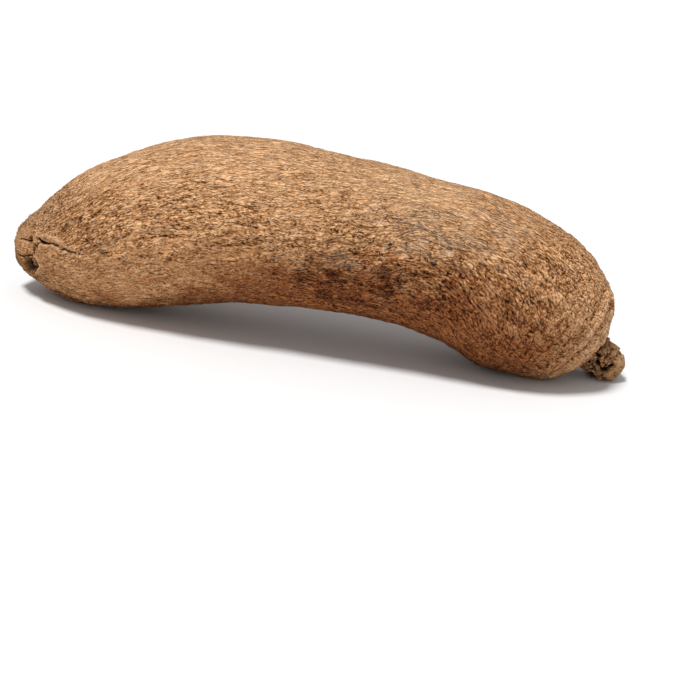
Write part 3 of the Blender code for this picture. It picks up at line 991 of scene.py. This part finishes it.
def bark_colour(bark, pattern, furrows):
    """The cork's colour by its tone, then pale flakes and rims, soil with painted shade, grey wear, stains with
    a band of painted shade, the scar's floor, dried sap and black cracks laid over it in turn."""
    tone = bark_tone(bark, pattern, furrows)
    colour = bark.ramp(tone, ((0.00, FISSURE), (0.28, DEEP_CORK), (0.55, MID_CORK), (0.85, PALE_CORK)))
    flakes = bark.span(pattern.flakes, 0.59, 0.66) * bark.span(pattern.mottled, 0.46, 0.60, 0.35, 1.0)
    colour = bark.mix(flakes * bark.attribute("crest"), colour, FLAKE)
    colour = bark.mix(0.75 * bark.attribute("light"), colour, PALE_CORK)
    # Painted shade, partly soil stain: darker, warmer brown below the flank and towards the head.
    colour = bark.mix(0.84 * bark.attribute("soil"), colour, SOIL_AND_SHADE_BROWN, "MULTIPLY")
    worn = bark.attribute("worn") * bark.span(pattern.mottled, 0.30, 0.60)
    colour = bark.mix(0.40 * worn, colour, GREY_CORK)
    # Stains and the dark nub, with a band of painted shade low on the flank.
    stain = bark.attribute("stain") * bark.span(pattern.mottled, 0.25, 0.50, 0.35, 1.0)
    colour = bark.mix(stain, colour, STAIN_AND_SHADE_BROWN, "MULTIPLY")
    colour = bark.mix(0.7 * bark.attribute("scar"), colour, SCAR_BROWN)
    colour = bark.mix(bark.attribute("sap"), colour, SAP_AMBER)
    return bark.mix(bark.attribute("dark"), colour, PIT_BLACK)


def bark_bump(bark, pattern, furrows):
    """The finest relief: ridges, fibres and grit less the dashes, lower where the skin is smooth, and rounded
    plates between the deep lines."""
    thin_ridge = bark.rounded(pattern.thin, 0.13)
    fine = (pattern.wide_ridge + 0.6 * thin_ridge + 0.6 * pattern.fibres + 0.5 * pattern.grit
            - 0.8 * furrows.dashes)
    plates = furrows.opened * bark.rounded(pattern.deep, 0.06)
    height = (1 - 0.45 * bark.attribute("smooth")) * fine + 1.2 * plates
    sockets = {"Strength": 1.0, "Distance": BUMP_DISTANCE, "Height": height}
    return bark.node("ShaderNodeBump", None, sockets, "Normal")


def bark_finish():
    """Dry corky bark: pale ridges between thin dark furrows, fibres along the grain, pale flakes, grey wear,
    dark stains with a band of painted shade, soil with painted shade below and towards the head, a pale top
    partly painted light, and black cracks, from the skin's own attributes."""
    bark = Finish("bark")
    pattern = bark_pattern(bark)
    furrows = bark_furrows(bark, pattern)
    bark.put(bark.shader.inputs["Base Color"], bark_colour(bark, pattern, furrows))
    bark.put(bark.shader.inputs["Roughness"], bark.span(pattern.fibres, 0.3, 0.7, 0.94, 0.80))
    bark.put(bark.shader.inputs["Normal"], bark_bump(bark, pattern, furrows))
    bark.put(bark.shader.inputs["Specular IOR Level"], 0.15)
    return bark.material


# Setting

def add_floor():
    """A wide plain floor of pale matt board."""
    half = FLOOR_HALF
    corners = [(-half, -half, 0), (half, -half, 0), (half, half, 0), (-half, half, 0)]
    mesh = bpy.data.meshes.new("floor")
    mesh.from_pydata(corners, [], [(0, 1, 2, 3)])
    board = Finish("pale_board")
    board.put(board.shader.inputs["Base Color"], (FLOOR_GREY, FLOOR_GREY, FLOOR_GREY, 1.0))
    board.put(board.shader.inputs["Roughness"], 0.9)
    mesh.materials.append(board.material)
    floor = bpy.data.objects.new("floor", mesh)
    bpy.context.scene.collection.objects.link(floor)


def add_world():
    """Even white light from all round."""
    world = bpy.data.worlds.new("studio")
    world.use_nodes = True
    background = world.node_tree.nodes["Background"]
    background.inputs["Color"].default_value = (1, 1, 1, 1)
    background.inputs["Strength"].default_value = SKY_STRENGTH
    bpy.context.scene.world = world


def add_sun():
    """Even light from one direction, with shadows as soft as its apparent size in degrees."""
    light = bpy.data.lights.new("key", "SUN")
    light.energy = SUN_STRENGTH
    light.angle = np.radians(SUN_SOFTNESS)
    lamp = bpy.data.objects.new("key", light)
    lamp.matrix_world = Vector(SUN_DIRECTION).to_track_quat("Z", "Y").to_matrix().to_4x4()
    bpy.context.scene.collection.objects.link(lamp)


def add_camera():
    """A camera that looks at the middle of the tuber's box and puts it at its place in the picture."""
    low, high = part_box("yam")
    azimuth, elevation, roll = np.radians([CAMERA_AZIMUTH, CAMERA_ELEVATION, CAMERA_ROLL])
    back = np.array([np.sin(azimuth) * np.cos(elevation),
                     -np.cos(azimuth) * np.cos(elevation),
                     np.sin(elevation)])
    level = np.array([np.cos(azimuth), np.sin(azimuth), 0.0])
    upright = np.cross(back, level)
    right = np.cos(roll) * level + np.sin(roll) * upright
    up = np.cos(roll) * upright - np.sin(roll) * level
    pixel = CAMERA_DISTANCE * SENSOR / (LENS * PICTURE)
    across = (MIDDLE_IN_PICTURE[0] - PICTURE / 2) * pixel
    above = (PICTURE / 2 - MIDDLE_IN_PICTURE[1]) * pixel
    target = np.array([0.0, 0.0, (high[2] - low[2]) / 2])
    place = target + CAMERA_DISTANCE * back - across * right - above * up
    lens = bpy.data.cameras.new("camera")
    lens.lens = LENS
    lens.sensor_width = SENSOR
    lens.clip_end = 50
    camera = bpy.data.objects.new("camera", lens)
    turned = Matrix(np.stack([right, up, back], 1).tolist()).to_4x4()
    camera.matrix_world = Matrix.Translation(place) @ turned
    bpy.context.scene.collection.objects.link(camera)
    bpy.context.scene.camera = camera


# Making the scene

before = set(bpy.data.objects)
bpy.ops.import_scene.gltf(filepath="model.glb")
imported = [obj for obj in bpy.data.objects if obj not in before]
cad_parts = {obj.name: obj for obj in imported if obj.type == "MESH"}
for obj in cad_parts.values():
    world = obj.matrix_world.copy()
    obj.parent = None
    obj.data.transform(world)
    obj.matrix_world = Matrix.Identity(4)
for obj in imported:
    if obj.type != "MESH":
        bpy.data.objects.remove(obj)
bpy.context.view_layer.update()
bark = bark_finish()
make_tuber(bark)
make_knob(bark)
add_floor()
add_world()
add_sun()
add_camera()
bpy.context.scene.view_settings.view_transform = "Standard"
